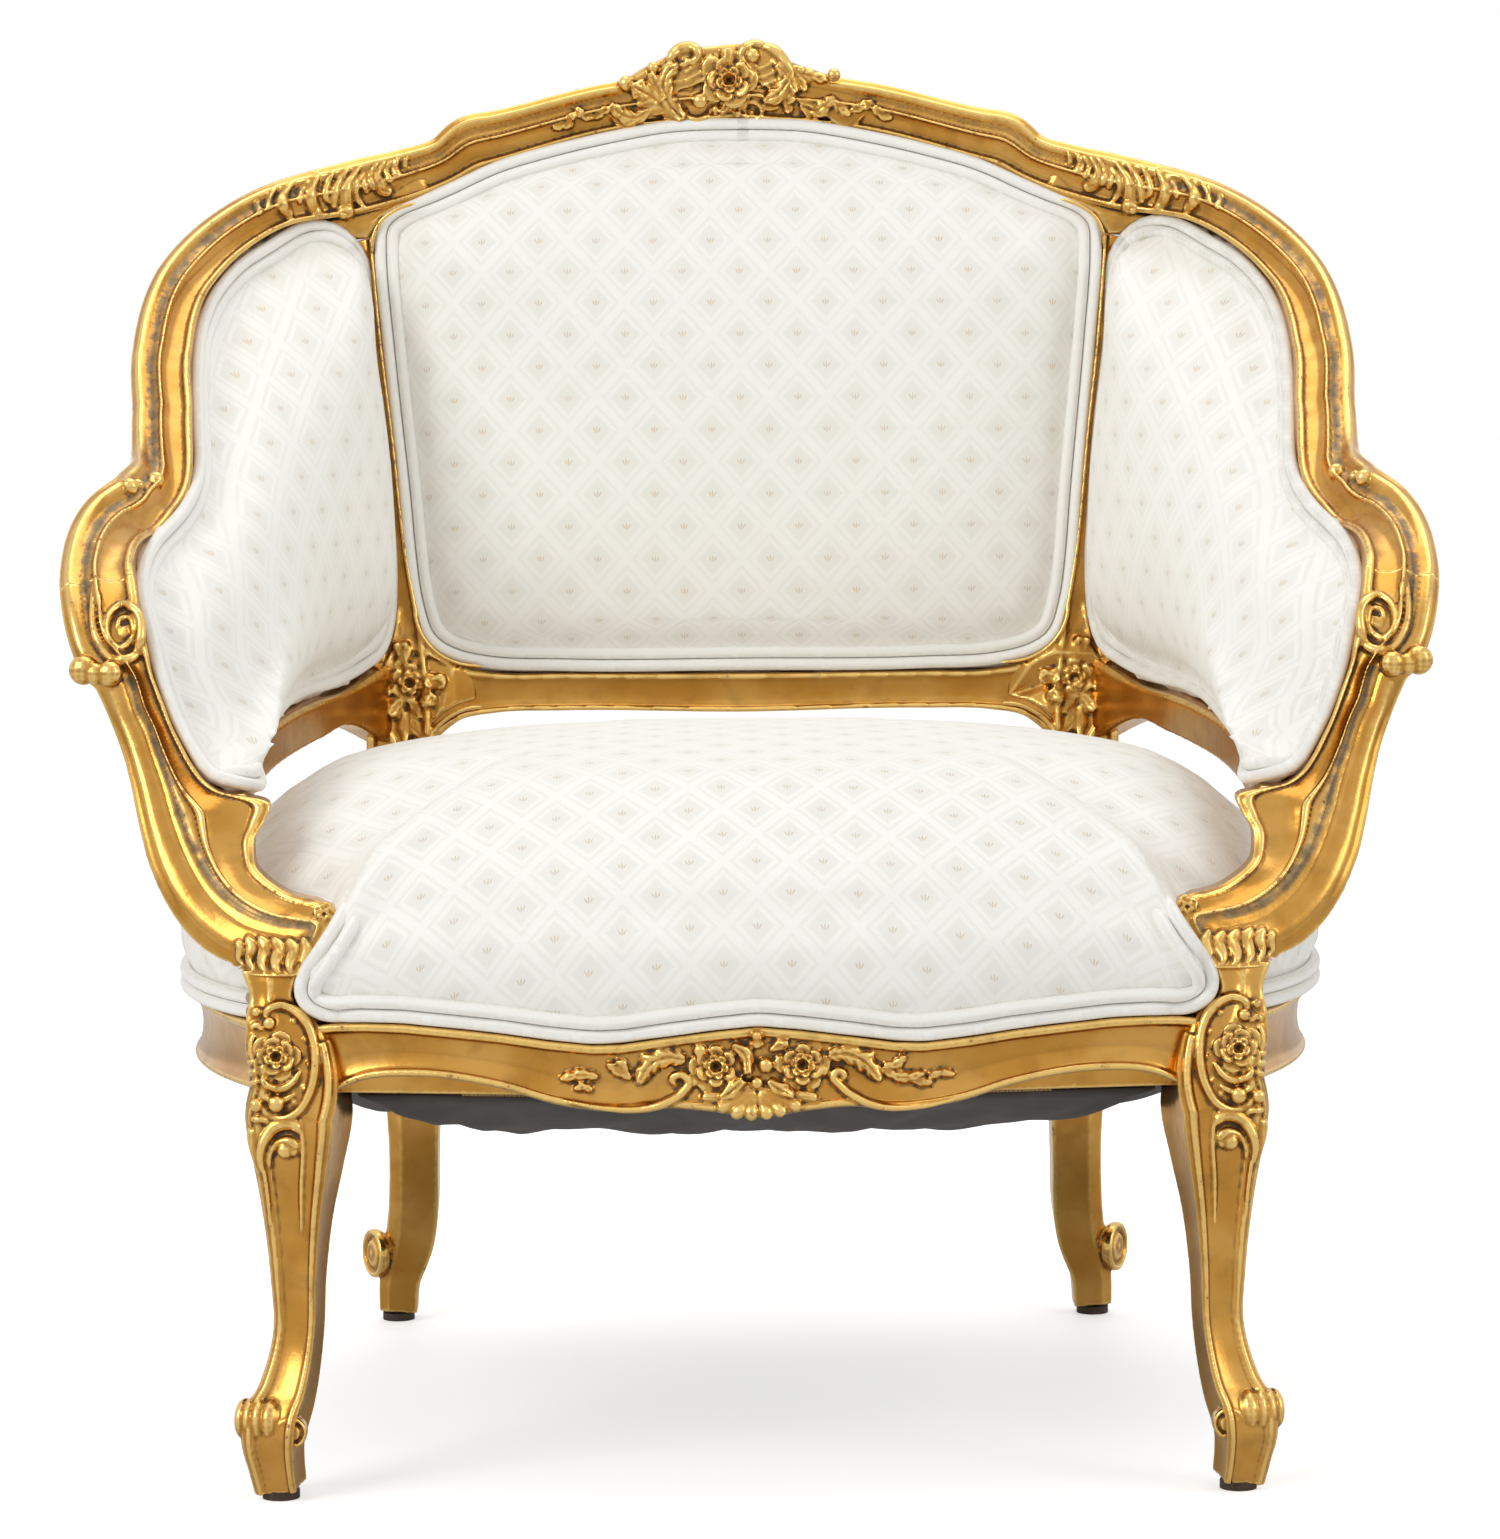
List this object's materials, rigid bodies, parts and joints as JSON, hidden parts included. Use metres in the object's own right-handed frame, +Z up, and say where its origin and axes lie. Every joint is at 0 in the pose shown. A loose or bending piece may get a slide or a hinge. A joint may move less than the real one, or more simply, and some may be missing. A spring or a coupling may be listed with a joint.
{
  "type": "bergere armchair",
  "caption": "Low carved and gilded wing armchair with an upholstered back, closed padded wings and a domed sprung seat on cabriole legs.",
  "frame": {"origin": "on the floor, in the middle of the chair's outline", "axes": "+X to the viewer's right across the chair, -Y towards the sitter's front, +Z up"},
  "size_m": [0.833, 0.6366, 0.878],
  "materials": {
    "gilt": "water-gilded carved beech, rubbed and darkened in the hollows",
    "beech": "bare planed beech",
    "damask": "off-white woven jacquard with a small lozenge lattice",
    "hemp": "plain woven jute and webbing",
    "hair": "curled hair stuffing",
    "steel": "drawn spring wire",
    "cambric": "dark plain-woven dust cloth",
    "glide_nylon": "dark moulded glide"
  },
  "bodies": {
    "root": {"crest_rail": "gilt", "wing_rail_left": "gilt", "wing_rail_right": "gilt", "arm_support_left": "gilt", "arm_support_right": "gilt", "rear_leg_left": "gilt", "rear_leg_right": "gilt", "front_leg_left": "gilt", "front_leg_right": "gilt", "lower_back_rail": "gilt", "lower_side_rail_left": "gilt", "lower_side_rail_right": "gilt", "front_seat_rail": "gilt", "side_seat_rail_left": "gilt", "side_seat_rail_right": "gilt", "rear_seat_rail": "beech", "corner_block_front_left": "beech", "corner_block_front_right": "beech", "corner_block_rear_left": "beech", "corner_block_rear_right": "beech", "seat_cover": "damask", "seat_piping_front": "damask", "seat_piping_left": "damask", "seat_piping_right": "damask", "seat_piping_rear": "damask", "back_pad": "damask", "outside_back": "damask", "back_piping": "damask", "side_left_pad": "damask", "side_right_pad": "damask", "outside_side_left": "damask", "outside_side_right": "damask", "side_left_piping": "damask", "side_right_piping": "damask", "seat_webbing": "hemp", "seat_hessian": "hemp", "back_hessian": "hemp", "side_left_hessian": "hemp", "side_right_hessian": "hemp", "seat_stuffing": "hair", "seat_spring_1": "steel", "seat_spring_2": "steel", "seat_spring_3": "steel", "seat_spring_4": "steel", "seat_spring_5": "steel", "seat_spring_6": "steel", "seat_spring_7": "steel", "seat_spring_8": "steel", "seat_spring_9": "steel", "dust_cover": "cambric", "front_glide_left": "glide_nylon", "front_glide_right": "glide_nylon", "rear_glide_left": "glide_nylon", "rear_glide_right": "glide_nylon"}
  },
  "joints": []
}
